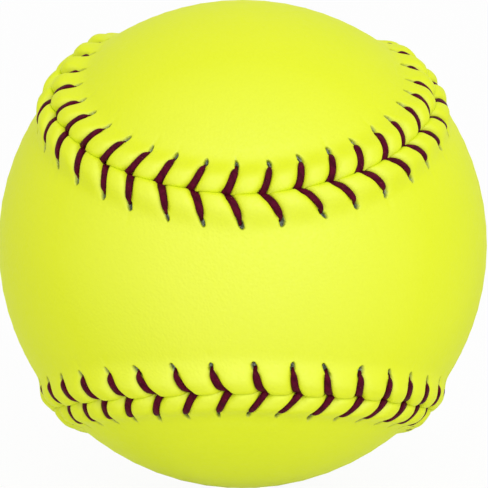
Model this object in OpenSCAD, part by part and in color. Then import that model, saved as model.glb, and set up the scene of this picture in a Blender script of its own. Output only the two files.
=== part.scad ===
// A sewn softball of the large training size: a foam core, a coat of cement, two figure-of-eight
// covers and the waxed thread that laces them edge to edge in a raised herringbone seam.
// The ball is centred on the origin. The waist of the front cover faces -Y and runs along X,
// and the waist of the back cover faces +Y and runs along Z.

/* [Ball] */
// Distance round the ball, over the smooth part of a cover
ball_girth = 355.6; // [300:0.1:410]
// Thickness of a cover away from the seam
cover_wall = 2; // [1.7:0.1:2.6]
// Thickness of the cement between the core and the covers
cement_wall = 0.3; // [0.1:0.05:0.6]

/* [Seam] */
// Half of the angle between the two runs of the seam across a waist, in degrees
waist_angle = 23.2; // [20:0.1:28]
// How far the seam is bowed out along its straighter runs, in degrees
bow_angle = 7.4; // [6:0.1:8.5]
// How far the seam swings to each side of its mean path, in degrees
swing_angle = 29.2; // [27:0.1:31]
// How far a ripple of half the length fills out the curve of each lobe, in degrees
ripple_angle = 4.6; // [4:0.1:5.2]
// Number of double stitches in the seam
stitches = 80; // [72:4:88]
// Height of the rolls of leather between two stitches
roll_height = 2.8; // [2.5:0.1:3.2]
// Distance from the seam to the top of a roll
roll_reach = 2.9; // [2.6:0.1:3.3]
// Width of the top of a roll, along the seam
roll_width = 3.5; // [3:0.1:4]
// Distance from the seam to where the raised edge ends
ridge_reach = 8.8; // [8.6:0.1:10]
// Gap between the two edges where they meet
edge_gap = 0.2; // [0.1:0.05:0.4]

/* [Stitch] */
// Diameter of the waxed thread while it is round
thread_d = 1.15; // [1:0.05:1.2]
// Thickness of the thread where it is pressed flat over the leather or squeezed in a hole
thread_flat = 0.85; // [0.75:0.05:0.9]
// Distance from the seam to the middle of a stitch hole
hole_reach = 7; // [6.8:0.1:7.2]
// Length of a stitch hole, across the seam
hole_length = 2.1; // [1.9:0.1:2.3]
// Width of a stitch hole, along the seam
hole_width = 1.1; // [1.05:0.05:1.3]
// How far the holes of a stitch lie ahead of where it enters the seam, on average
stitch_lean = 3; // [2.5:0.1:3.5]
// How much further ahead the front cover's hole lies, and how much less far the back cover's
hole_stagger = 0.9; // [0.6:0.1:1]
// Distance between the two legs of a stitch where they enter the seam
leg_split = 1.1; // [1.1:0.05:1.3]

/* [Hidden] */
// Facets of the round surfaces
$fn = 120;
// Running clearance of the thread in the leather
thread_clear = 0.1;
// A smaller ripple still, in degrees, at three times the pace of the swing
SMALL_RIPPLE = 1.2;
// Step for a direction along the seam, in degrees of its curve, and for one along a leg's flat side
TURN_STEP = 1;
SIDE_STEP = 1;

// Radii of the layers
ball_r = ball_girth / (2 * PI);
coat_r = ball_r - cover_wall;
core_r = coat_r - cement_wall;
flat_r = thread_flat / 2;
// The flat thread keeps the section of the round one
thread_width = pow(thread_d, 2) / thread_flat;

// Distances along the seam, measured once a degree on the ball's own radius
seam_table = [for (i = 0, along = 0; i <= 720; along = along + seam_step(i), i = i + 1) [along, i]];
seam_length = seam_table[720][0];
pitch = seam_length / stitches;

// Shares of the height of a roll at which other points of the raised edge lie: the bed of a leg
// between two rolls, the edge itself, its notch, and the near and far ends of a hole
bed_share = 0.4;
edge_share = 0.62;
notch_share = 0.25;
near_share = 0.44;
far_share = 0.13;
bed_height = bed_share * roll_height;
edge_height = edge_share * roll_height;
notch_height = notch_share * roll_height;
near_height = near_share * roll_height;
far_height = far_share * roll_height;

// A notch in each edge lets the two legs of a stitch down between the covers
notch_depth = flat_r + 3 * thread_clear;
// A leg goes down its hole close to the hole's near end
entry_reach = hole_reach - hole_length / 2 + flat_r + 2 * thread_clear;
// Share of its lean that a leg has by the time it crosses the line of the rolls
lean_share = 0.5;
roll_lean = lean_share * stitch_lean;
roll_stagger = (hole_stagger + leg_split / 2) / 2;
// How far the bed's sides take to rise to the top of a roll, and how steeply they do
bed_half = (pitch - roll_width) / 2;
bed_slope = (roll_height - bed_height) / bed_half;

// The runs of thread under the covers are straight, so their ends sit higher over the cement
run_length = norm([pitch + leg_split / 2 + hole_stagger - stitch_lean, entry_reach]);
run_r = coat_r + sag(run_length, coat_r) + flat_r + thread_clear;
lining_r = run_r + sag(pitch, run_r) + flat_r + thread_clear;
// Radii of a leg of a stitch in the mouth of its hole, between two rolls and where it turns down.
// Between the rolls its flat side rests on the two sides of the bed.
mouth_r = ball_r + near_height + flat_r + thread_clear;
leg_r = ball_r + bed_height + bed_slope * thread_width / 2 + flat_r / 3 + thread_clear;
dive_r = ball_r + notch_height + flat_r + 3 * thread_clear;

// The smooth part of a cover is laid out in columns, which meet along the cover's middle line
COLUMNS = 60;
// The middle line ends in the middle of each lobe, at this angle from the waist
LOBE_ANGLE = 104;
// Rows of the smooth part, as shares of the way from the raised edge to the middle line
row_shares = [0.25, 0.5, 0.75];
// Its faces are flat between their corners, so the corners stand out by the sag of the longest
// diagonal: by half of it over the ball's radius, and by all of it over the cement
DIAGONAL_SHARE = 1.2;
lobe_length = ball_r * (180 - waist_angle - LOBE_ANGLE) * PI / 180 - ridge_reach;
lobe_cell = [lobe_length / (len(row_shares) + 1), seam_length / COLUMNS];
face_sag = sag(DIAGONAL_SHARE * norm(lobe_cell), ball_r);
outer_r = ball_r + face_sag / 2;
inner_r = coat_r + face_sag + thread_clear;
// Sides of the thread
SIDES = 5;

function unit(v) = v / norm(v);

// How far a straight line of a length dips below a circle of radius r
function sag(length, r) = r - sqrt(pow(r, 2) - pow(length / 2, 2));

// Direction from the ball's centre to the seam, for t from 0 to 720 degrees round the closed seam
function seam_point(t) =
    let (
        latitude = (90 - waist_angle - bow_angle) * cos(t) + bow_angle * cos(3 * t),
        turn = t / 2 + swing_angle * sin(2 * t) + ripple_angle * sin(4 * t) + SMALL_RIPPLE * sin(6 * t)
    )
    [cos(latitude) * sin(turn), -sin(latitude), cos(latitude) * cos(turn)];

function seam_step(i) = ball_r * norm(seam_point(i + 1) - seam_point(i));

// A point at a distance along the seam, a distance out from it over the front cover, and a radius
function at_seam(along, out, r) =
    let (
        turns = along / seam_length,
        t = lookup((turns - floor(turns)) * seam_length, seam_table),
        up = seam_point(t),
        side = unit(cross(seam_point(t + TURN_STEP) - seam_point(t - TURN_STEP), up)),
        angle = out / ball_r * 180 / PI
    )
    r * (up * cos(angle) + side * sin(angle));

// Where stitch k enters the seam
function stitch_at(k) = (k + 0.5) * pitch;

// A row of points round the seam, from the columns of one stitch; a column is [ahead, out, r]
function seam_row(columns) = [
    for (k = [0:stitches - 1])
        for (c = columns)
            at_seam(stitch_at(k) + c[0], c[1], c[2])
];

// A row of points in the smooth part, a share of the way from the raised edge to the middle line
function smooth_row(share, r) = [
    for (k = [0:COLUMNS - 1])
        let (
            round = (k + 0.5) / COLUMNS,
            foot = at_seam(round * seam_length + stitch_lean, ridge_reach, 1)
        )
        r * unit((1 - share) * foot + share * middle_point(round))
];

// The middle line of the front cover, which the columns reach from both banks
function middle_point(round) =
    let (angle = LOBE_ANGLE * sin(360 * round))
    [sin(angle), -cos(angle), 0];

function middle_row(r) = [
    for (k = [-COLUMNS / 4:COLUMNS / 4 - 1])
        r * middle_point((k + 0.5) / COLUMNS)
];

// The place in the middle row of the point where column k ends
function middle_index(k) =
    COLUMNS / 4 + (k < COLUMNS / 4 ? k : k < 3 * COLUMNS / 4 ? COLUMNS / 2 - 1 - k : k - COLUMNS);

// Triangles between a row of na points from number a on, and a row of nb points from number b on.
// Where the rows are the sides of the stitch holes, each second cell stays open.
function strip(a, na, b, nb, holes = false) = [
    for (i = [0:na - 1])
        if (!holes || i % 2 == 1)
            [a + i, a + (i + 1) % na, b + (ceil((i + 1) * nb / na) - 1) % nb],
    for (j = [0:nb - 1])
        if (!holes || j % 2 == 1)
            [b + (j + 1) % nb, b + j, a + floor((j + 1) * na / nb) % na]
];

// The last strip, whose far side is the middle row from number b on
function closing_strip(a, b) = [
    for (f = strip(a, COLUMNS, b, COLUMNS))
        let (g = [for (v = f) v < b ? v : b + middle_index(v - b)])
        if (g[0] != g[1] && g[1] != g[2] && g[2] != g[0])
            g
];

// The number of the first point of each row
function starts(rows, first) = [
    for (i = 0, total = first; i < len(rows); total = total + len(rows[i]), i = i + 1)
        total
];

// One skin of a cover, from the edge to the middle line
function skin(rows, s, hole_row) = [
    for (i = [0:len(rows) - 3])
        each strip(s[i], len(rows[i]), s[i + 1], len(rows[i + 1]), i == hole_row),
    each closing_strip(s[len(rows) - 2], s[len(rows) - 1])
];

// The four walls of each stitch hole, between two rows of the outer skin and two of the inner
function hole_walls(near_out, far_out, near_in, far_in) = [
    for (k = [0:2:2 * stitches - 2])
        let (
            outer = [near_out + k, near_out + k + 1, far_out + k + 1, far_out + k],
            inner = [near_in + k, near_in + k + 1, far_in + k + 1, far_in + k]
        )
        for (i = [0:3])
            let (j = (i + 1) % 4)
            for (face = [[outer[i], outer[j], inner[j]], [outer[i], inner[j], inner[i]]])
                face
];

function reversed(list) = [for (i = [len(list) - 1:-1:0]) list[i]];

// A figure-of-eight cover, with its raised edge, the rolls and notches of the seam and the holes.
// The way is 1 for the front cover and -1 for the back, whose legs start and end less far ahead.
module cover(way) {
    bed = roll_lean + way * roll_stagger;
    hole = [for (i = [-1, 1]) stitch_lean + way * hole_stagger + i * hole_width / 2];
    near = hole_reach - hole_length / 2;
    far = hole_reach + hole_length / 2;
    outer = [
        seam_row([
            [-pitch / 2, edge_gap / 2, ball_r + edge_height],
            [way * leg_split / 2, notch_depth, ball_r + notch_height]
        ]),
        seam_row([
            [bed - bed_half, roll_reach, ball_r + roll_height],
            [bed, roll_reach, ball_r + bed_height],
            [bed + bed_half, roll_reach, ball_r + roll_height]
        ]),
        seam_row([for (x = hole) [x, near, ball_r + near_height]]),
        seam_row([for (x = hole) [x, far, ball_r + far_height]]),
        seam_row([[stitch_lean, ridge_reach, outer_r]]),
        for (share = row_shares) smooth_row(share, outer_r),
        middle_row(outer_r)
    ];
    inner = [
        seam_row([[way * leg_split / 2, notch_depth, lining_r]]),
        seam_row([for (x = hole) [x, near, lining_r]]),
        seam_row([for (x = hole) [x, far, lining_r]]),
        seam_row([[stitch_lean, ridge_reach, inner_r]]),
        for (share = row_shares) smooth_row(share, inner_r),
        middle_row(inner_r)
    ];
    s_out = starts(outer, 0);
    s_in = starts(inner, s_out[len(outer) - 1] + COLUMNS / 2);
    polyhedron(
        points = [for (row = concat(outer, inner)) each row],
        faces = [
            each skin(outer, s_out, 2),
            for (f = skin(inner, s_in, 1)) reversed(f),
            each strip(s_in[0], len(inner[0]), s_out[0], len(outer[0])),
            each hole_walls(s_out[2], s_out[3], s_in[1], s_in[2])
        ]
    );
}

module front_cover() {
    color("greenyellow") cover(1);
}

// The back cover is the same figure of eight, turned to close the ball
module back_cover() {
    color("greenyellow") rotate([0, 90, 0]) mirror([0, 1, 0]) cover(-1);
}

module core() {
    color("wheat") sphere(r = core_r);
}

module cement_coat() {
    color("ivory") difference() {
        sphere(r = coat_r);
        sphere(r = core_r);
    }
}

// A needle changes covers from each stitch to the next: 1 is the front cover and -1 the back
function side(k, needle) = (k + needle) % 2 == 0 ? 1 : -1;

// A place on the thread's path: the point, the direction of the thread's width and the width there
function spot(along, out, r, width) = [
    at_seam(along, out, r),
    at_seam(along + SIDE_STEP, out, r) - at_seam(along - SIDE_STEP, out, r),
    width
];

// A leg of stitch k: from under the seam, up between the edges, over the raised edge and down its hole
function leg(k, needle) =
    let (
        s = stitch_at(k),
        way = side(k, needle),
        dive = s + way * leg_split / 2,
        bed = s + roll_lean + way * roll_stagger,
        hole = s + stitch_lean + way * hole_stagger
    )
    [
        spot(dive, 0, run_r, thread_flat),
        spot(dive, 0, dive_r, thread_flat),
        spot(bed, way * roll_reach, leg_r, thread_width),
        spot(hole, way * entry_reach, mouth_r, thread_flat),
        spot(hole, way * entry_reach, run_r, thread_flat)
    ];

// The end of the thread, tucked under the cover beside the last stitch
function tail(needle) =
    let (way = side(0, needle))
    spot(stitch_at(0) + way * leg_split / 2, -way * hole_reach / 2, run_r, thread_flat);

function needle_path(needle) = [tail(needle), for (k = [0:stitches - 1]) each leg(k, needle)];

// The thread has a needle on each end, and its middle crosses under the seam after the last stitch
function thread_path() =
    let (middle = spot(stitch_at(stitches - 1) + stitch_lean, 0, run_r, thread_flat))
    [each needle_path(0), middle, each reversed(needle_path(1))];

// A tube in straight lengths along a path, mitred where they meet. Its section is an oval that is
// as wide as the path says there, and the thickness is kept through the bends.
module tube(path, thickness, sides) {
    last = len(path) - 1;
    ways = [for (i = [0:last - 1]) unit(path[i + 1][0] - path[i][0])];
    rings = [
        for (i = [0:last])
            let (
                before = ways[max(i - 1, 0)],
                after = ways[min(i, last - 1)],
                mitre = unit(before + after),
                width = path[i][1],
                across = unit(width - (width * mitre) * mitre),
                over = cross(across, mitre) / (mitre * after)
            )
            [
                for (j = [0:sides - 1])
                    let (angle = 360 * j / sides - 90)
                    path[i][0] + (path[i][2] * cos(angle) * across + thickness * sin(angle) * over) / 2
            ]
    ];
    polyhedron(
        points = [for (ring = rings) each ring],
        faces = [
            [for (j = [sides - 1:-1:0]) j],
            for (i = [0:last - 1])
                for (j = [0:sides - 1])
                    let (
                        a = i * sides + j,
                        b = i * sides + (j + 1) % sides
                    )
                    for (face = [[a, b, b + sides], [a, b + sides, a + sides]])
                        face,
            [for (j = [0:sides - 1]) last * sides + j]
        ]
    );
}

module thread() {
    color("maroon") tube(thread_path(), thread_flat, SIDES);
}

core();
cement_coat();
front_cover();
back_cover();
thread();
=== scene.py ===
import math
import bpy
import numpy as np
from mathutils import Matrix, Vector


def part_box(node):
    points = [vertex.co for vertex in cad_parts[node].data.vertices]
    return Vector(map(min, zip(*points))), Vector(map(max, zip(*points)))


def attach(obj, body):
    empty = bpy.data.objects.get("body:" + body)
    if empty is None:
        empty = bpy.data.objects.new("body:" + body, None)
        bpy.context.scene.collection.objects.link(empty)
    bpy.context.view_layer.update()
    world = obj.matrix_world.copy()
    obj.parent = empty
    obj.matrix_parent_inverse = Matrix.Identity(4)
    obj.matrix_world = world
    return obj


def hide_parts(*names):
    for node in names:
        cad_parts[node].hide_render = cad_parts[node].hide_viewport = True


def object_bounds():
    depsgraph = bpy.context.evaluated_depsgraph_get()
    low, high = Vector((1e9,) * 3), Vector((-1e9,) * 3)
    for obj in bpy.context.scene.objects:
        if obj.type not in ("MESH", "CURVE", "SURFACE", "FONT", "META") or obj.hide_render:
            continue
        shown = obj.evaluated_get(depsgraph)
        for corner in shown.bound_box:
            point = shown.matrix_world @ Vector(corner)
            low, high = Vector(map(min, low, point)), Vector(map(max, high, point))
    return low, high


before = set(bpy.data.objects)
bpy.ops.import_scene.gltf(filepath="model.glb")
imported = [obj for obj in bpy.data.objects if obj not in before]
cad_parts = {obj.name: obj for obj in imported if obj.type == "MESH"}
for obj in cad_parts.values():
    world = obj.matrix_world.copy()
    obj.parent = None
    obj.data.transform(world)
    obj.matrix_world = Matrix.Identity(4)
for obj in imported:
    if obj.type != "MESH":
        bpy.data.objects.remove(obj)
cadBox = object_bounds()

mm = 0.001
coverThickness = 2.0

# The seam, in millimetres and degrees: a closed curve with two waists and four lobes.
seam = {
    "ballRadius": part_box("cement_coat")[1].z / mm + coverThickness,
    "waistAngle": 23.2,  # from the middle of a waist to the seam
    "bowAngle": 7.4,
    "rippleAngles": (29.2, 4.6, 1.2),  # of the sines of 2t, 4t and 6t
    "stitches": 80,
    "turns": 4 * math.pi,  # the curve's parameter t goes round twice
    "tableSteps": 14400,
    "slopeStep": 1e-4,  # of t, either way, to find where the seam is heading
    "wander": 2.6,  # how far the seam strays towards the front cover
    "wanderAt": 12.5,  # the stitch where it strays most
    "wanderReach": 4.0,  # stitches to each side
}


# Unit vectors to the seam. The angle from Y swings as the cosine of t between the two covers, bowed
# by the cosine of 3t, while the turn about Y goes on at half the pace of t, with three ripples that
# are sines of 2t, 4t and 6t.
def seamDirection(t):
    bow = math.radians(seam["bowAngle"])
    swing = math.pi / 2 - math.radians(seam["waistAngle"]) - bow
    latitude = swing * np.cos(t) + bow * np.cos(3 * t)
    ripples = enumerate(seam["rippleAngles"])
    turn = t / 2 + sum(math.radians(angle) * np.sin(2 * (i + 1) * t) for i, angle in ripples)
    level = np.cos(latitude)
    return np.stack([level * np.sin(turn), -np.sin(latitude), level * np.cos(turn)], -1)


seamT = np.linspace(0, seam["turns"], seam["tableSteps"] + 1)
seamSteps = np.linalg.norm(np.diff(seamDirection(seamT), axis=0), axis=1) * seam["ballRadius"]
seamAlong = np.concatenate([[0], np.cumsum(seamSteps)])
seamLength = seamAlong[-1]
pitch = seamLength / seam["stitches"]
print("seam %.1f mm long, a stitch every %.2f mm" % (seamLength, pitch))


# Where a stitch lies along the seam when all are even: in the middle of its own pitch.
def evenPlace(stitch):
    return (stitch + 0.5) * pitch


# The same turned round: a place along the seam as a number of stitches, with fractions.
def evenStitch(along):
    return along / pitch - 0.5


# Points of the ball, in millimetres: along the seam, then square off it over the sphere towards the
# front cover, or the back one where lateral is negative, and then out by the height. A bell along the
# seam moves it where it strays.
def place(along, lateral, height):
    half = seam["stitches"] / 2
    away = np.mod(along / pitch - seam["wanderAt"] + half, seam["stitches"]) - half
    lateral = lateral + seam["wander"] * np.exp(-(away / seam["wanderReach"]) ** 2)
    t = np.interp(np.mod(along, seamLength), seamAlong, seamT)
    up = seamDirection(t)
    ahead = seamDirection(t + seam["slopeStep"]) - seamDirection(t - seam["slopeStep"])
    ahead /= np.linalg.norm(ahead, axis=-1, keepdims=True)
    side = np.cross(ahead, up)
    angle = (lateral / seam["ballRadius"])[..., None]
    return (up * np.cos(angle) + side * np.sin(angle)) * (seam["ballRadius"] + height)[..., None]


# 0 below low, 1 above high, and between them the cubic 3q2 - 2q3.
def smooth(low, high, value):
    q = np.clip((value - low) / (high - low), 0, 1)
    return q * q * (3 - 2 * q)


# A smooth mesh object at the origin, from points in millimetres.
def meshPiece(name, points, faces, attributes, material):
    mesh = bpy.data.meshes.new(name)
    mesh.from_pydata((points * mm).tolist(), [], faces)
    mesh.polygons.foreach_set("use_smooth", np.ones(len(mesh.polygons), bool))
    for key, values in attributes.items():
        mesh.attributes.new(key, "FLOAT", "POINT").data.foreach_set("value", values.astype(np.float32))
    mesh.materials.append(material)
    mesh.update()
    piece = bpy.data.objects.new(name, mesh)
    bpy.context.scene.collection.objects.link(piece)
    return piece


# A new material, its tree of nodes and its shader.
def newMaterial(name):
    material = bpy.data.materials.new(name)
    material.use_nodes = True
    return material, material.node_tree, material.node_tree.nodes["Principled BSDF"]


# The small steps that the materials are made of. Each adds one node to the tree and gives back the
# socket that comes out of it. This one is the place on the piece, in metres.
def objectPlace(tree):
    return tree.nodes.new("ShaderNodeTexCoord").outputs["Object"]


# A value that the mesh carries at each point.
def attributeNode(tree, name):
    attribute = tree.nodes.new("ShaderNodeAttribute")
    attribute.attribute_name = name
    return attribute.outputs["Fac"]


# Fractal noise around 0.5.
def noiseNode(tree, vector, scale, detail, roughness):
    noise = tree.nodes.new("ShaderNodeTexNoise")
    noise.inputs["Scale"].default_value = scale
    noise.inputs["Detail"].default_value = detail
    noise.inputs["Roughness"].default_value = roughness
    tree.links.new(vector, noise.inputs["Vector"])
    return noise.outputs["Fac"]


# Distance from the middle of the nearest cell; the smooth feature has no sharp walls between cells.
def cellNode(tree, vector, scale, feature):
    cells = tree.nodes.new("ShaderNodeTexVoronoi")
    cells.feature = feature
    cells.inputs["Scale"].default_value = scale
    tree.links.new(vector, cells.inputs["Vector"])
    return cells.outputs["Distance"]


# A straight line from one range of values to another, held at its ends.
def rangeNode(tree, value, given, made=(0, 1)):
    ranged = tree.nodes.new("ShaderNodeMapRange")
    for socket, number in zip(("From Min", "From Max", "To Min", "To Max"), (*given, *made)):
        ranged.inputs[socket].default_value = number
    tree.links.new(value, ranged.inputs["Value"])
    return ranged.outputs["Result"]


# One sum, whose values are plain numbers or sockets.
def mathNode(tree, operation, *values):
    node = tree.nodes.new("ShaderNodeMath")
    node.operation = operation
    for socket, value in zip(node.inputs, values):
        if isinstance(value, (int, float)):
            socket.default_value = value
        else:
            tree.links.new(value, socket)
    return node.outputs[0]


# A straight blend from the first colour to the second, each a tuple or a socket.
def mixColour(tree, factor, colourA, colourB):
    mix = tree.nodes.new("ShaderNodeMix")
    mix.data_type = "RGBA"
    tree.links.new(factor, mix.inputs["Factor"])
    for socket, colour in (("A", colourA), ("B", colourB)):
        target = [s for s in mix.inputs if s.name == socket and s.type == "RGBA"][0]
        if isinstance(colour, tuple):
            target.default_value = (*colour, 1)
        else:
            tree.links.new(colour, target)
    return [s for s in mix.outputs if s.type == "RGBA"][0]


# The normal tilted by the slope of a height, on top of another bump if there is one.
def bumpNode(tree, height, strength, distance, normal=None):
    bump = tree.nodes.new("ShaderNodeBump")
    bump.inputs["Strength"].default_value = strength
    bump.inputs["Distance"].default_value = distance
    tree.links.new(height, bump.inputs["Height"])
    if normal is not None:
        tree.links.new(normal, bump.inputs["Normal"])
    return bump.outputs["Normal"]


# Here and in the next materials a noise is its scale, detail and roughness, a bump its strength and
# its depth in metres, and a range its low and high end.
leather = {
    "yellow": (0.864, 0.958, 0.022),
    "shade": (0.840, 0.945, 0.016),  # the slow drift of the dye
    "driftNoise": (22, 2, 0.5),
    "driftRange": (0.35, 0.65),
    # painted shade for the seam, beside the legs, the notches and the walls of the gap
    "paintedShade": (0.62, 0.70, 0.006),
    # painted shade inside the holes
    "paintedHoleShade": (0.020, 0.032, 0.018),
    "holeLight": (0.33, 0.37, 0.33),  # the cloth that backs the leather
    "clothNoise": (2000, 2, 0.7),
    "clothRange": (0.48, 0.64),
    "poreNoise": (900, 4, 0.6),
    "poreBump": (0.55, 0.0001),
    "poreRange": (0.3, 0.7),
    "grainScale": 1500,
    "grainBump": (0.6, 0.00012),
    "roughness": (0.56, 0.68),
    "glossFacing": (0.04, 0.36),
    "glossLevels": (1.05, 0.28),  # seen squarely, and at a slant, where the pores hide the shine
}


# Dyed leather: yellow that drifts to a second tone of the dye, with painted shade in the creases,
# painted shade mixed with the cloth in the holes, and fine pores over a larger grain.
def leatherMaterial():
    material, tree, shader = newMaterial("optic_leather")
    where = objectPlace(tree)
    drift = rangeNode(tree, noiseNode(tree, where, *leather["driftNoise"]), leather["driftRange"])
    colour = mixColour(tree, drift, leather["yellow"], leather["shade"])
    # painted shade at the seam, beside the legs and in the notches
    colour = mixColour(tree, attributeNode(tree, "paintedShade"), colour, leather["paintedShade"])
    # in the holes, painted shade mixed by a noise with the cloth that backs the leather
    cloth = rangeNode(tree, noiseNode(tree, where, *leather["clothNoise"]), leather["clothRange"])
    inside = mixColour(tree, cloth, leather["paintedHoleShade"], leather["holeLight"])
    colour = mixColour(tree, attributeNode(tree, "hole"), colour, inside)
    tree.links.new(colour, shader.inputs["Base Color"])
    grain = cellNode(tree, where, leather["grainScale"], "SMOOTH_F1")
    pores = noiseNode(tree, where, *leather["poreNoise"])
    normal = bumpNode(tree, pores, *leather["poreBump"])
    normal = bumpNode(tree, grain, *leather["grainBump"], normal)
    tree.links.new(normal, shader.inputs["Normal"])
    roughness = rangeNode(tree, pores, leather["poreRange"], leather["roughness"])
    tree.links.new(roughness, shader.inputs["Roughness"])
    facing = tree.nodes.new("ShaderNodeLayerWeight").outputs["Facing"]
    gloss = rangeNode(tree, facing, leather["glossFacing"], leather["glossLevels"])
    tree.links.new(gloss, shader.inputs["Specular IOR Level"])
    return material


waxedThread = {
    "maroon": (0.066, 0.0014, 0.012),
    "bright": (0.130, 0.0030, 0.026),
    "waxNoise": (700, 4, 0.65),
    "brightRange": (0.35, 0.7),
    "paintedGrooveShade": (0.034, 0.0010, 0.006),  # painted shade in the grooves between the plies
    "plies": 2,
    "plyLength": 7.5,  # millimetres for one turn of the twist
    "plyBump": (0.6, 0.0001),
    "grooveRange": (-1, -0.4),  # of the plies' cosine
    "grooveShades": (0.45, 0),
    "paintedGlint": (0.330, 0.0700, 0.080),  # painted highlights, small glints on the wax
    "glintNoise": (2400, 2, 0.6),
    "glintRange": (0.66, 0.74),
    "glintShares": (0, 0.6),
    "fibreNoise": (3500, 3, 0.6),
    "fibreBump": (0.5, 0.00006),
    "waxRange": (0.3, 0.7),
    "roughness": (0.42, 0.62),
    "gloss": 0.06,
}


# Waxed thread. The plies are a cosine of the turn round the thread plus the turns of the twist along
# it; the wax varies in tone, painted shade darkens the grooves between the plies, and small painted
# highlights stand for glints on the wax.
def threadMaterial():
    material, tree, shader = newMaterial("waxed_maroon_thread")
    along, around = attributeNode(tree, "threadAlong"), attributeNode(tree, "threadAround")
    turn = mathNode(tree, "MULTIPLY_ADD", along, 1 / waxedThread["plyLength"], around)
    angle = mathNode(tree, "MULTIPLY", turn, 2 * math.pi * waxedThread["plies"])
    ply = mathNode(tree, "COSINE", angle)
    where = objectPlace(tree)
    wax = noiseNode(tree, where, *waxedThread["waxNoise"])
    tone = rangeNode(tree, wax, waxedThread["brightRange"])
    colour = mixColour(tree, tone, waxedThread["maroon"], waxedThread["bright"])
    # painted shade in the grooves between the plies
    grooves = rangeNode(tree, ply, waxedThread["grooveRange"], waxedThread["grooveShades"])
    colour = mixColour(tree, grooves, colour, waxedThread["paintedGrooveShade"])
    # painted highlights: small glints on the wax, where a noise passes a threshold
    glintSpots = noiseNode(tree, where, *waxedThread["glintNoise"])
    glinting = rangeNode(tree, glintSpots, waxedThread["glintRange"], waxedThread["glintShares"])
    colour = mixColour(tree, glinting, colour, waxedThread["paintedGlint"])
    tree.links.new(colour, shader.inputs["Base Color"])
    fibres = noiseNode(tree, where, *waxedThread["fibreNoise"])
    normal = bumpNode(tree, ply, *waxedThread["plyBump"])
    normal = bumpNode(tree, fibres, *waxedThread["fibreBump"], normal)
    tree.links.new(normal, shader.inputs["Normal"])
    roughness = rangeNode(tree, wax, waxedThread["waxRange"], waxedThread["roughness"])
    tree.links.new(roughness, shader.inputs["Roughness"])
    shader.inputs["Specular IOR Level"].default_value = waxedThread["gloss"]
    return material


foam = {
    "colours": ((0.72, 0.60, 0.36), (0.80, 0.69, 0.46)),
    "driftNoise": (60, 3, 0.5),
    "driftRange": (0.3, 0.7),
    "roughness": (0.75, 0.9),
    "cellScale": 900,
    "cellBump": (0.5, 0.0002),
}


# Cast foam: two tones blended by a slow noise, with the skin of closed cells as a bump.
def foamMaterial():
    material, tree, shader = newMaterial("cast_foam")
    where = objectPlace(tree)
    drift = noiseNode(tree, where, *foam["driftNoise"])
    cells = cellNode(tree, where, foam["cellScale"], "F1")
    tree.links.new(mixColour(tree, drift, *foam["colours"]), shader.inputs["Base Color"])
    tree.links.new(bumpNode(tree, cells, *foam["cellBump"]), shader.inputs["Normal"])
    roughness = rangeNode(tree, drift, foam["driftRange"], foam["roughness"])
    tree.links.new(roughness, shader.inputs["Roughness"])
    return material


cement = {
    "colours": ((0.62, 0.56, 0.38), (0.82, 0.78, 0.62)),
    "strokeNoise": (240, 5, 0.7),
    "strokeRange": (0.3, 0.7),
    "strokeBump": (0.4, 0.0002),
    "roughness": (0.3, 0.55),
}


# Dried cement: one noise for its strokes, which sets tone, bump and shine.
def cementMaterial():
    material, tree, shader = newMaterial("dried_cement")
    strokes = noiseNode(tree, objectPlace(tree), *cement["strokeNoise"])
    tree.links.new(mixColour(tree, strokes, *cement["colours"]), shader.inputs["Base Color"])
    tree.links.new(bumpNode(tree, strokes, *cement["strokeBump"]), shader.inputs["Normal"])
    roughness = rangeNode(tree, strokes, cement["strokeRange"], cement["roughness"])
    tree.links.new(roughness, shader.inputs["Roughness"])
    return material


# The raised edge of a cover by the seam, with its rolls, beds, notches and holes, in millimetres.
# Where a value differs between the covers, 1 is the front one and -1 the back one.
edge = {
    "crest": 2.8,  # height of a roll
    "crestReach": 2.9,  # from the seam to the crest
    "foot": 10.0,  # from the seam to where the ridge starts
    "footPower": 1.6,
    "innerDropShare": 0.10,  # how far the roll falls from crest to seam
    "edgeDrop": 0.72,  # how far the edge rolls down into the seam
    "edgeRound": 0.45,  # and over what width
    "rollPowers": (3.2, 0.75),  # how full a roll is on top, and how steep its sides are
    "meetGap": 0.006,
    "openGap": 0.42,  # how far the edge stands back at a crossing
    "openReach": 0.85,  # and over what length of the seam
    "lean": 3.0,  # how far a leg leans from seam to hole
    "leanReach": 7.5,
    "leanPower": 1.45,
    "crossing": 0.5,  # the front cover's legs start this far ahead, the back one's behind
    "stagger": 0.9,  # and so do its holes
    "staggerReach": 6.0,
    "swingReach": 6.5,  # from the seam to where the hand's unevenness is all the hole's
    "tip": 0.45,  # how far a leg's start is dragged back along the seam
    "tipReach": 0.7,  # and over what width
    "pull": 0.30,  # how far a leg pulls the seam's line towards its hole
    "pullAt": 0.75,  # from the crossing, along the seam
    "pullReach": 0.8,
    "pullRise": 0.3,
    "pullFade": 1.6,  # across the seam
    "bedHalf": 0.72,  # half the width of a bed's floor
    "bedDips": {1: 1.55, -1: 1.75},
    "bedFade": (3.0, 8.0),  # from the seam, where a bed starts and ends to fade
    "notch": 0.95,  # how deep the leather dips at a crossing
    "notchAhead": 0.1,
    "notchReach": (2.3, 1.25),  # inside the V, and behind it
    "notchWidth": 1.15,
    "lowest": -0.9,  # how low the leather may sink at a crossing
    "pucker": 0.07,  # a shallow dip behind each hole
    "puckerAt": 9.2,
    "puckerReach": (0.7, 1.1),  # along the seam, and across it
    "holeReach": {1: 6.4, -1: 6.85},
    "holeHalfLength": 1.2,
    "holeHalfWidth": 0.53,
    "holeTilt": 0.05,  # slope of a hole's long way, ahead on the front cover, back on the other
    "holeDepth": 1.1,
    "holeSoft": 0.06,  # of the rim, as a share of the hole
    "steepest": 40,  # holds the exponential of the rim in bounds
}

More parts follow.
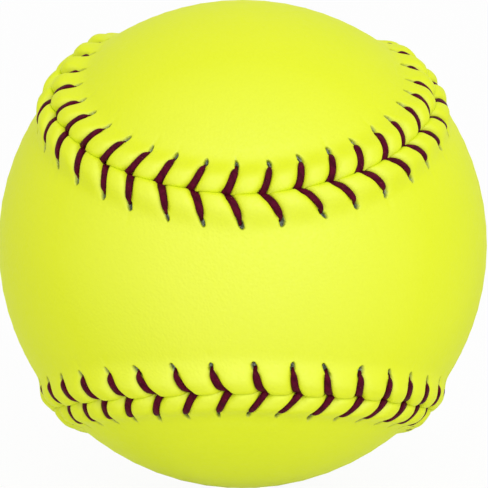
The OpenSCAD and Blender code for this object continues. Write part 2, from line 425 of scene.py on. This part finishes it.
# The hand's unevenness. The first table gives the standard deviation of what varies from stitch to
# stitch: millimetres for the apex, a slope for the hole's tilt, and shares for the rest.
hand = {
    "seed": 11,
    "deviations": {
        "lean": 0.10,
        "apex": 0.14,
        "crest": 0.04,
        "dip": 0.10,
        "holeLength": 0.10,
        "holeWidth": 0.12,
        "holeTilt": 0.22,
        "width": 0.06,
        "pucker": 0.5,
    },
    "limit": 1.8,  # no stitch is off by more than this many deviations
    # one row for each stitch where the drift turns: the stitch, how far ahead of even the crossing,
    # the front hole and the back hole lie, and shares of the ridge's height and the beds' depth;
    # numbers from 80 up count on round the seam
    "driftKinds": ("stitch", "crossing", "frontHole", "backHole", "ridge", "beds"),
    "drifts": [
        (25, 0.0, 0.0, 0.0, 0.95, 1.0),
        (30, 0.0, -0.2, -0.6, 0.86, 0.8),
        (33, -0.4, -0.9, -1.0, 0.92, 0.76),
        (36, -0.9, -2.4, -0.4, 0.98, 0.84),
        (39, -1.0, -2.0, 0.0, 1.0, 1.0),
        (42, -0.3, -1.3, 0.4, 0.98, 1.0),
        (45, -0.4, -1.2, 0.3, 0.92, 0.88),
        (46, -0.3, -0.9, 0.2, 0.89, 0.72),
        (48, -0.1, -0.3, 0.0, 0.84, 1.2),
        (50, 0.0, 0.0, 0.0, 0.82, 1.3),
        (55, 0.0, 0.0, 0.0, 0.95, 1.0),
        (65, 0.0, 0.0, 0.0, 1.05, 1.4),
        (70, 0.6, 0.3, 0.5, 1.12, 1.6),
        (71, 0.9, 0.5, 0.8, 1.10, 0.85),
        (73, 1.2, 0.5, 1.0, 1.05, 0.82),
        (75, 1.2, 0.2, 0.9, 1.0, 0.95),
        (78, 0.7, -0.1, 0.6, 1.0, 1.0),
        (81, 1.2, 0.9, 1.5, 1.0, 1.0),
        (84, 1.2, 1.2, 1.2, 1.0, 1.0),
        (87, 0.1, -0.2, 0.4, 1.0, 1.0),
        (90, 0.0, 0.0, 0.0, 1.0, 1.0),
        (95, 0.0, 0.0, 0.0, 1.0, 1.0),
    ],
    # where the front cover's legs are thicker: the stitch and a share
    "girths": [(41, 1.0), (44, 1.14), (49, 1.16), (53, 1.0)],
}

random = np.random.default_rng(hand["seed"])
stitchNoise = {
    (side, key): random.normal(0, 1, seam["stitches"]).clip(-hand["limit"], hand["limit"])
    for side in (1, -1)
    for key in hand["deviations"]
}


# How far one stitch is off: its own draw times the deviation.
def uneven(side, key, stitch):
    return hand["deviations"][key] * stitchNoise[side, key][stitch]


# How far a place between stitches is off: the draws of the two nearest, blended by the distance to
# each, times the deviation.
def drifting(side, key, along):
    position = evenStitch(along)
    first = np.floor(position).astype(int)
    blend = position - first
    values = stitchNoise[side, key]
    count = seam["stitches"]
    between = values[first % count] * (1 - blend) + values[(first + 1) % count] * blend
    return hand["deviations"][key] * between


# One column of the table of drifts, by linear interpolation round the seam.
def handDrift(kind, base):
    table = np.array(hand["drifts"])
    column = table[:, hand["driftKinds"].index(kind)]
    return np.interp(evenStitch(base), table[:, 0], column, period=seam["stitches"])


# How far ahead of even a column crosses the seam.
def apexDrift(side, base):
    return handDrift("crossing", base) + drifting(side, "apex", base)


# How far ahead a leg lies: a power curve that is steep at the seam and level at the hole.
def leanAt(lateral):
    q = np.clip(lateral / edge["leanReach"], 0, 1)
    return edge["lean"] * (1 - (1 - q) ** edge["leanPower"])


# Where a column lies at some distance from the seam: its own even place, plus the start of the legs
# that grows to the holes' stagger by a smooth step, plus the lean, less a drag that fades as an
# exponential, plus the hand's drift, which turns from the crossing's to the hole's.
def alongAt(side, base, lateral):
    lean = leanAt(lateral) * (1 + drifting(side, "lean", base))
    more = edge["stagger"] - edge["crossing"]
    ahead = edge["crossing"] + more * smooth(0, edge["staggerReach"], lateral)
    drag = edge["tip"] * np.exp(-lateral / edge["tipReach"])
    hole = handDrift("frontHole" if side > 0 else "backHole", base)
    swing = (hole - handDrift("crossing", base)) * smooth(0, edge["swingReach"], lateral)
    return base + side * ahead + lean - drag + apexDrift(side, base) + swing


# The seam's line between the covers, as a shift towards the front one: a bell where each back leg
# pulls it back, just behind the crossing, and one the other way where the front leg pulls. Both rise
# from nothing at the crossing in a straight line, and a bell across the seam fades them.
def seamShift(along, lateral):
    fromCrossing = np.mod(along + edge["tip"], pitch) - pitch / 2
    bell = np.exp(-((np.abs(fromCrossing) - edge["pullAt"]) / edge["pullReach"]) ** 2)
    rise = np.clip(np.abs(fromCrossing) / edge["pullRise"], 0, 1)
    fade = np.exp(-(lateral / edge["pullFade"]) ** 2)
    return edge["pull"] * np.sign(fromCrossing) * bell * rise * fade


# The roll's profile across the seam: a power of half a cosine up from the foot to the crest, then a
# parabola and an exponential drop to the edge.
def ridgeHeight(lateral):
    outward = np.clip((lateral - edge["crestReach"]) / (edge["foot"] - edge["crestReach"]), 0, 1)
    rise = (0.5 * (1 + np.cos(math.pi * outward))) ** edge["footPower"]
    inward = np.clip(1 - lateral / edge["crestReach"], 0, 1)
    drop = edge["edgeDrop"] * np.exp(-lateral / edge["edgeRound"])
    return edge["crest"] * (rise - edge["innerDropShare"] * inward ** 2) - drop


# How deep a leg's bed lies under the rolls: even over the crest, gone behind the hole.
def bedDip(side, lateral):
    return edge["bedDips"][side] * (1 - smooth(*edge["bedFade"], lateral))


# A bell at each crossing, longer inside the V of the legs than behind it.
def notchBell(side, offset, lateral, width):
    inside = offset + side * edge["crossing"] - edge["notchAhead"]
    reach = np.where(inside > 0, *edge["notchReach"])
    return np.exp(-(inside / reach) ** 2 - (lateral / width) ** 2)


# 1 in a stitch's hole and 0 outside it: a steep logistic of the distance from an ellipse's middle,
# as a share of the distance to its rim.
def holeMask(side, offset, lateral, stitch, soft):
    halfLength = edge["holeHalfLength"] * (1 + uneven(side, "holeLength", stitch))
    halfWidth = edge["holeHalfWidth"] * (1 + uneven(side, "holeWidth", stitch))
    ahead = lateral - edge["holeReach"][side]
    across = offset - (uneven(side, "holeTilt", stitch) + edge["holeTilt"] * side) * ahead
    ellipse = np.sqrt((across / halfWidth) ** 2 + (ahead / halfLength) ** 2)
    return 1 / (1 + np.exp(np.clip((ellipse - 1) / soft, -edge["steepest"], edge["steepest"])))


# Height of the cover over the ball's radius. Across a stitch it goes from the bed to the roll as a
# power of one minus a power of the distance. The notch, a bell-shaped pucker behind the hole and the
# hole itself are taken away, and nothing goes under the lowest height.
def leatherHeight(side, offset, lateral, stitch, holes=True):
    away = np.clip((np.abs(offset) - edge["bedHalf"]) / (pitch / 2 - edge["bedHalf"]), 0, 1)
    inner, outer = edge["rollPowers"]
    roll = (1 - (1 - away) ** inner) ** outer
    base = evenPlace(stitch) + offset
    crest = ridgeHeight(lateral) * handDrift("ridge", base) * (1 + drifting(side, "crest", base))
    dip = bedDip(side, lateral) * handDrift("beds", base) * (1 + uneven(side, "dip", stitch))
    height = crest - dip * (1 - roll)
    height = height - edge["notch"] * notchBell(side, offset, lateral, edge["notchWidth"])
    pucker = edge["pucker"] * (1 + uneven(side, "pucker", stitch))
    alongReach, acrossReach = edge["puckerReach"]
    behind = (lateral - edge["puckerAt"]) / acrossReach
    height = height - pucker * np.exp(-(offset / alongReach) ** 2 - behind ** 2)
    if holes:
        height = height - edge["holeDepth"] * holeMask(side, offset, lateral, stitch, edge["holeSoft"])
    return np.maximum(height, edge["lowest"])


# How much painted shade the leather gets, from 0 to 1: at the seam, beside each leg and in the
# notches.
paintedShade = {
    "seamShare": 0.4,
    "seamReach": 0.12,
    "legShare": 0.7,
    "legHalf": 0.95,
    "legPower": 6,
    "legFade": (4.8, 6.6),
    "notchShare": 0.35,
    "notchWidth": 0.9,
}


# An exponential from the seam, a flat-topped power bell over the leg and the notch's bell, added up.
def paintedShadeAt(side, offset, lateral):
    line = paintedShade["seamShare"] * np.exp(-lateral / paintedShade["seamReach"])
    overLeg = np.exp(-(np.abs(offset) / paintedShade["legHalf"]) ** paintedShade["legPower"])
    beside = overLeg * (1 - smooth(*paintedShade["legFade"], lateral))
    notch = notchBell(side, offset, lateral, paintedShade["notchWidth"])
    return np.clip(line + paintedShade["legShare"] * beside + paintedShade["notchShare"] * notch, 0, 1)


# The grid of a cover: its columns round the seam, and its rows from the seam over the edge, the ridge,
# the holes and the foot of the ridge to the middle line.
cover = {
    "columns": 20,  # to a stitch
    "crowdShare": 0.35,  # the spacing of columns over a leg as a share of the mean
    "crowdPower": 2.2,
    "edgeRows": 9,
    "edgePower": 1.6,
    "edgeEnd": 1.3,
    "ridgeRows": 11,
    "holeStart": 4.9,
    "holeRows": 20,
    "holeEnd": 8.4,
    "footRows": 5,
    "footEnd": 12.0,
    "farRows": 7,
    "gapFade": 0.8,  # over what width the gap at the seam is taken up
    "wallRows": 2,
    "wallFoot": -1.2,  # height of the inner side near the seam
    "lining": -1.6,  # and of the rest of it
    "liningRows": 5,
    "lobeAngle": 104,  # from the middle of the waist to the end of a lobe, in degrees
    "holeShadeSoft": 0.08,  # of the painted shade and cloth colour at a hole's rim, as a share of the hole
}


# The stitch of each column and its offset from that stitch: even numbers from -1 to 1, crowded near
# 0 by a blend of a line and a power.
def coverColumns():
    count = cover["columns"]
    q = -1 + (2 * np.arange(count) + 1) / count
    crowd = cover["crowdShare"]
    crowded = crowd * np.abs(q) + (1 - crowd) * np.abs(q) ** cover["crowdPower"]
    offsets = pitch / 2 * np.sign(q) * crowded
    return np.repeat(np.arange(seam["stitches"]), count), np.tile(offsets, seam["stitches"])


# The distance of each outer row from the seam, closest at the edge by a power and close at the holes.
def coverLaterals():
    return np.concatenate([
        cover["edgeEnd"] * np.linspace(0, 1, cover["edgeRows"], endpoint=False) ** cover["edgePower"],
        np.linspace(cover["edgeEnd"], cover["holeStart"], cover["ridgeRows"], endpoint=False),
        np.linspace(cover["holeStart"], cover["holeEnd"], cover["holeRows"], endpoint=False),
        np.linspace(cover["holeEnd"], cover["footEnd"], cover["footRows"]),
    ])


# The cover's middle line: an arc of the great circle that its waist and lobes lie on, swept to and
# fro by a sine. The back cover's is a quarter of the seam later, in the plane square to it.
def middleLine(side, share):
    later = 0 if side > 0 else 1 / 4
    angle = math.radians(cover["lobeAngle"]) * np.sin(2 * math.pi * (share - later))
    zero = np.zeros_like(angle)
    if side > 0:
        return np.stack([np.sin(angle), -np.cos(angle), zero], -1)
    return np.stack([zero, np.cos(angle), -np.sin(angle)], -1)


# A row near the seam: each column leant, shifted with the seam's line and put on the ball.
def seamRow(side, base, lateral, height):
    along = alongAt(side, base, lateral)
    shift = seamShift(along - apexDrift(side, base), lateral)
    return place(along, side * lateral + shift, height)


# A row beyond the ridge: straight blends from its foot to the middle line, put back on the sphere.
def farRow(side, base, part, height):
    lateral = np.full_like(base, cover["footEnd"])
    foot = place(alongAt(side, base, lateral), side * lateral, np.zeros_like(base))
    middle = middleLine(side, base / seamLength)
    blend = (1 - part) * foot / seam["ballRadius"] + part * middle
    out = (seam["ballRadius"] + height)[..., None]
    return blend / np.linalg.norm(blend, axis=-1, keepdims=True) * out


# The points that a cover's grid keeps, by number, and its faces. The banks on the two sides of the
# middle line share its points: a column's mirror image is the one that meets it there.
def coverFaces(side, rows, columns):
    own = np.arange(columns)
    mirror = (columns // 2 - 1 - own if side > 0 else -1 - own) % columns
    index = np.arange(rows * columns).reshape(rows, columns)
    for row in (0, -1):
        index[row] = index[row][np.minimum(own, mirror)]
    used, packed = np.unique(index, return_inverse=True)
    packed = packed.reshape(index.shape)
    after = np.roll(packed, -1, axis=1)
    quads = np.stack([packed[:-1], packed[1:], after[1:], after[:-1]], -1).reshape(-1, 4)
    if side < 0:
        quads = quads[:, ::-1]
    return used, [tuple(dict.fromkeys(face)) for face in quads.tolist()]  # each corner once


# A closed shell on a grid: columns go round the seam, crowded by each leg, and rows go from the
# middle line of the inner side to the seam, up the edge and over the outer side to the middle line.
# The edge stands back from the seam's line by a hair, and by a bell more at each crossing; over the
# ridge an exponential takes that gap up again.
def coverPiece(name, side, material):
    stitch, offset = coverColumns()
    base = evenPlace(stitch) + offset
    plain = np.zeros_like(base)
    wallFoot = plain + cover["wallFoot"]
    lining = plain + cover["lining"]
    fromCrossing = offset + side * edge["crossing"]
    gap = edge["meetGap"] + edge["openGap"] * np.exp(-(fromCrossing / edge["openReach"]) ** 2)
    top = leatherHeight(side, offset, gap, stitch)
    rows = []

    def addRow(points, paintedShadeAmount=plain, holed=plain):
        rows.append((points, paintedShadeAmount, holed))

    for part in np.linspace(1, 0, cover["liningRows"], endpoint=False):
        addRow(farRow(side, base, part, lining))
    addRow(seamRow(side, base, plain + cover["footEnd"], lining))
    addRow(seamRow(side, base, plain + cover["edgeEnd"], wallFoot))
    # the walls down into the gap at the seam carry full painted shade
    for level in np.linspace(0, 1, cover["wallRows"], endpoint=False):
        addRow(seamRow(side, base, gap, wallFoot + level * (top - wallFoot)), plain + 1)
    for lateral in coverLaterals():
        reach = lateral + gap * np.exp(-lateral / cover["gapFade"])
        points = seamRow(side, base, reach, leatherHeight(side, offset, reach, stitch))
        holed = holeMask(side, offset, reach, stitch, cover["holeShadeSoft"])
        addRow(points, paintedShadeAt(side, offset, reach), holed)
    for part in np.linspace(0, 1, cover["farRows"] + 1)[1:]:
        addRow(farRow(side, base, part, plain))
    points, paintedShadeAmount, holed = (np.concatenate(values) for values in zip(*rows))
    used, faces = coverFaces(side, len(rows), len(base))
    attributes = {"paintedShade": paintedShadeAmount[used], "hole": holed[used]}
    return meshPiece(name, points[used], faces, attributes, material)


leg = {
    # one row for each control point of a leg: distance from the seam, height over the bed,
    # half width and half thickness; the last ones go down the hole
    "rows": [
        (-0.60, -1.60, 0.58, 0.34),
        (-0.45, -0.10, 0.74, 0.37),
        (0.10, 0.70, 0.85, 0.40),
        (0.80, 0.72, 0.88, 0.43),
        (1.80, 0.46, 0.88, 0.45),
        (3.00, 0.40, 0.87, 0.46),
        (4.30, 0.38, 0.85, 0.45),
        (5.30, 0.36, 0.76, 0.42),
        (6.00, 0.14, 0.58, 0.38),
        (6.40, -0.50, 0.44, 0.34),
        (6.50, -1.30, 0.38, 0.32),
    ],
    "reachShares": {1: 0.88, -1: 0.92},  # of the rows' distances, on the front and the back cover
    "girthReachShare": 0.4,  # how much of a leg's extra girth it has in length too
    "tightShare": 0.5,  # how much of a bed's extra depth narrows the thread
    "bedFrom": 0.3,  # the beds are measured no nearer to the seam than this
    "lowest": -1.3,  # under the covers
    "besideStep": 0.5,  # along the seam, to find which way the width lies
    "steps": 3,  # from one control point to the next
    "sides": 10,  # of the section
    "squareness": 0.8,  # power of the section's cosine and sine
}


# Control points of the strand that one needle sewed: at each stitch it changes covers, so its side
# of the seam goes front, back, front. A leg's girth multiplies its section and, by a share of what is
# over 1, its length. Where the beds are deep the thread was pulled tight: it lies lower and is
# narrower.
def strandControls(needle):
    rows = np.array(leg["rows"])
    stitch = np.repeat(np.arange(seam["stitches"]), len(rows))
    lateral, lift, halfWidth, halfThick = np.tile(rows, (seam["stitches"], 1)).T
    side = np.where((stitch + needle) % 2 == 0, 1, -1)
    base = evenPlace(stitch)
    girths = np.array(hand["girths"])
    thicker = np.interp(stitch, girths[:, 0], girths[:, 1], period=seam["stitches"])
    girth = np.where(side > 0, thicker, 1)
    reach = np.where(side > 0, leg["reachShares"][1], leg["reachShares"][-1])
    reach = reach * (1 + leg["girthReachShare"] * (girth - 1))
    lateral = np.where(lateral > 0, lateral * reach, lateral)
    halfWidth, halfThick = halfWidth * girth, halfThick * girth
    along, height = np.empty_like(base), np.empty_like(base)
    for way in (1, -1):
        mine = side == way
        along[mine] = alongAt(way, base[mine], lateral[mine])
        middle = np.zeros(mine.sum())
        overBed = np.maximum(lateral[mine], leg["bedFrom"])
        bed = leatherHeight(way, middle, overBed, stitch[mine], holes=False)
        tight = np.maximum(handDrift("beds", base[mine]), 1)
        height[mine] = bed + np.where(lift[mine] > 0, lift[mine] * (2 - tight), lift[mine])
        narrower = 1 - leg["tightShare"] + leg["tightShare"] * tight
        halfWidth[mine] *= (1 + uneven(way, "width", stitch[mine])) / narrower
    height = np.maximum(height, leg["lowest"])
    across = side * lateral + seamShift(base + side * edge["crossing"], lateral)
    beside = place(along + leg["besideStep"], across, height)
    return place(along, across, height), beside, halfWidth, halfThick


# The Catmull-Rom curve through a list of values: between two of them, a cubic of the step u whose
# slope at each is half the difference of its neighbours.
def throughPoints(values):
    u = (np.arange(leg["steps"]) / leg["steps"])[None, :, None]
    values = values.reshape(len(values), -1)
    padded = np.concatenate([values[:1], values, values[-1:]])
    a, b, c, d = padded[:-3, None], padded[1:-2, None], padded[2:-1, None], padded[3:, None]
    square = 2 * a - 5 * b + 4 * c - d
    cube = 3 * b - a - 3 * c + d
    made = 0.5 * (2 * b + (c - a) * u + square * u ** 2 + cube * u ** 3)
    return np.concatenate([made.reshape(-1, values.shape[1]), values[-1:]])


# A power of a cosine or sine that keeps its sign, which squares an ellipse up a little.
def squared(value):
    return np.sign(value) * np.abs(value) ** leg["squareness"]


# A tube along both strands, end to end, on the curves through their control points. Its section is a
# squared ellipse whose width lies along the seam, made square to the path.
def threadPiece(material):
    strands = zip(strandControls(0), strandControls(1))
    controls = [np.concatenate([one, two[::-1]]) for one, two in strands]
    controls[1] = controls[1] - controls[0]  # from each point to the one beside it
    path, across, halfWidth, halfThick = (throughPoints(values) for values in controls)
    ahead = np.gradient(path, axis=0)
    ahead /= np.linalg.norm(ahead, axis=1, keepdims=True)
    across -= (across * ahead).sum(1, keepdims=True) * ahead
    across /= np.linalg.norm(across, axis=1, keepdims=True)
    normal = np.cross(ahead, across)
    rings, sides = len(path), leg["sides"]
    turn = 2 * math.pi * np.arange(sides) / sides
    wide = across[:, None] * (halfWidth * squared(np.cos(turn)))[..., None]
    thick = normal[:, None] * (halfThick * squared(np.sin(turn)))[..., None]
    points = (path[:, None] + wide + thick).reshape(-1, 3)
    index = np.arange(rings * sides).reshape(rings, sides)
    after = np.roll(index, -1, axis=1)
    faces = np.stack([index[:-1], after[:-1], after[1:], index[1:]], -1).reshape(-1, 4).tolist()
    faces += [index[0][::-1].tolist(), index[-1].tolist()]
    length = np.concatenate([[0], np.cumsum(np.linalg.norm(np.diff(path, axis=0), axis=1))])
    attributes = {
        "threadAlong": np.repeat(length, sides),
        "threadAround": np.tile(np.arange(sides) / sides, rings),
    }
    return meshPiece("waxed_thread", points, faces, attributes, material)


optic = leatherMaterial()
frontCover = coverPiece("stitched_cover_front", 1, optic)
print("front cover", len(frontCover.data.polygons), "faces")
backCover = coverPiece("stitched_cover_back", -1, optic)
print("back cover", len(backCover.data.polygons), "faces")
thread = threadPiece(threadMaterial())
print("thread", len(thread.data.polygons), "faces")

for piece, node, finish in (
    (frontCover, "front_cover", "cover"),
    (backCover, "back_cover", "cover"),
    (thread, "thread", "thread"),
):
    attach(piece, "root")
    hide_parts(node)
for node, material in (("core", foamMaterial()), ("cement_coat", cementMaterial())):
    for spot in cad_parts[node].material_slots:
        spot.material = material
print("core and cement coat dressed")

stage = {
    "floorHalf": 6.0,
    "floorColour": (0.90, 0.90, 0.90),
    "floorRoughness": 0.9,
    "floorWhiteShare": 0.95,  # how much of the floor's colour is plain white to the camera
    "worldColour": (1, 1, 1, 1),
    "worldLight": 0.69,
    "worldWhiteShare": 1.0,
    "keyPower": 12.0,
    "keyPlace": (0.42, -1.56, 1.02),
    "keySize": 1.2,
}


# Mixes a plain white glow into what the camera, a reflection or a glass sees of a surface.
def whiteToCamera(tree, surface, white, share):
    rays = tree.nodes.new("ShaderNodeLightPath")
    seen = rays.outputs["Is Camera Ray"]
    for name in ("Is Glossy Ray", "Is Transmission Ray"):
        seen = mathNode(tree, "MAXIMUM", seen, rays.outputs[name])
    mix = tree.nodes.new("ShaderNodeMixShader")
    tree.links.new(mathNode(tree, "MULTIPLY", seen, share), mix.inputs["Fac"])
    tree.links.new(surface, mix.inputs[1])
    tree.links.new(white, mix.inputs[2])
    return mix.outputs[0]


# A square of pale paper under the ball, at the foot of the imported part.
def makeFloor():
    bpy.ops.mesh.primitive_plane_add(size=2 * stage["floorHalf"], location=(0, 0, cadBox[0][2]))
    floor = bpy.context.object
    floor.name = "studio_floor"
    material, tree, shader = newMaterial("floor_paper")
    shader.inputs["Base Color"].default_value = (*stage["floorColour"], 1)
    shader.inputs["Roughness"].default_value = stage["floorRoughness"]
    glow = tree.nodes.new("ShaderNodeEmission")
    mixed = whiteToCamera(tree, shader.outputs[0], glow.outputs[0], stage["floorWhiteShare"])
    tree.links.new(mixed, tree.nodes["Material Output"].inputs["Surface"])
    floor.data.materials.append(material)


# An even light from all sides, which the camera sees as white.
def makeWorld():
    world = bpy.data.worlds.new("studio")
    bpy.context.scene.world = world
    world.use_nodes = True
    tree = world.node_tree
    dim = tree.nodes["Background"]
    dim.inputs["Strength"].default_value = stage["worldLight"]
    dim.inputs["Color"].default_value = stage["worldColour"]
    white = tree.nodes.new("ShaderNodeBackground")
    white.inputs["Color"].default_value = stage["worldColour"]
    mixed = whiteToCamera(tree, dim.outputs[0], white.outputs[0], stage["worldWhiteShare"])
    tree.links.new(mixed, tree.nodes["World Output"].inputs["Surface"])


# One large soft lamp in front and above, turned to the ball.
def makeKey():
    lamp = bpy.data.lights.new("key", "AREA")
    lamp.energy = stage["keyPower"]
    lamp.size = stage["keySize"]
    key = bpy.data.objects.new("key", lamp)
    key.location = stage["keyPlace"]
    key.rotation_euler = (-Vector(stage["keyPlace"])).to_track_quat("-Z", "Y").to_euler()
    bpy.context.scene.collection.objects.link(key)


camera = {
    "azimuth": 0.3,  # degrees
    "elevation": 12.17,
    "distance": 28.7,  # in ball radii
    "ballPixels": 244.3,  # radius of the smooth ball in the photograph
    "shiftPixels": (1.3, 0.0),
    "framePixels": 488,
    "sensor": 36.0,
}


# The lens is as long as makes the line that grazes the ball meet the picture at the ball's outline.
def makeCamera():
    lens = bpy.data.cameras.new("camera")
    slope = 1 / math.sqrt(camera["distance"] ** 2 - 1)  # of that line
    lens.sensor_width = camera["sensor"]
    lens.lens = camera["ballPixels"] / camera["framePixels"] * camera["sensor"] / slope
    lens.shift_x, lens.shift_y = (pixels / camera["framePixels"] for pixels in camera["shiftPixels"])
    holder = bpy.data.objects.new("camera", lens)
    azimuth, elevation = math.radians(camera["azimuth"]), math.radians(camera["elevation"])
    level = math.cos(elevation)
    back = Vector((math.sin(azimuth) * level, -math.cos(azimuth) * level, math.sin(elevation)))
    holder.location = back * camera["distance"] * seam["ballRadius"] * mm
    holder.rotation_euler = (-back).to_track_quat("-Z", "Y").to_euler()
    bpy.context.scene.collection.objects.link(holder)
    bpy.context.scene.camera = holder


makeFloor()
makeWorld()
makeKey()
makeCamera()
bpy.context.scene.view_settings.view_transform = "Standard"
print("stage set")
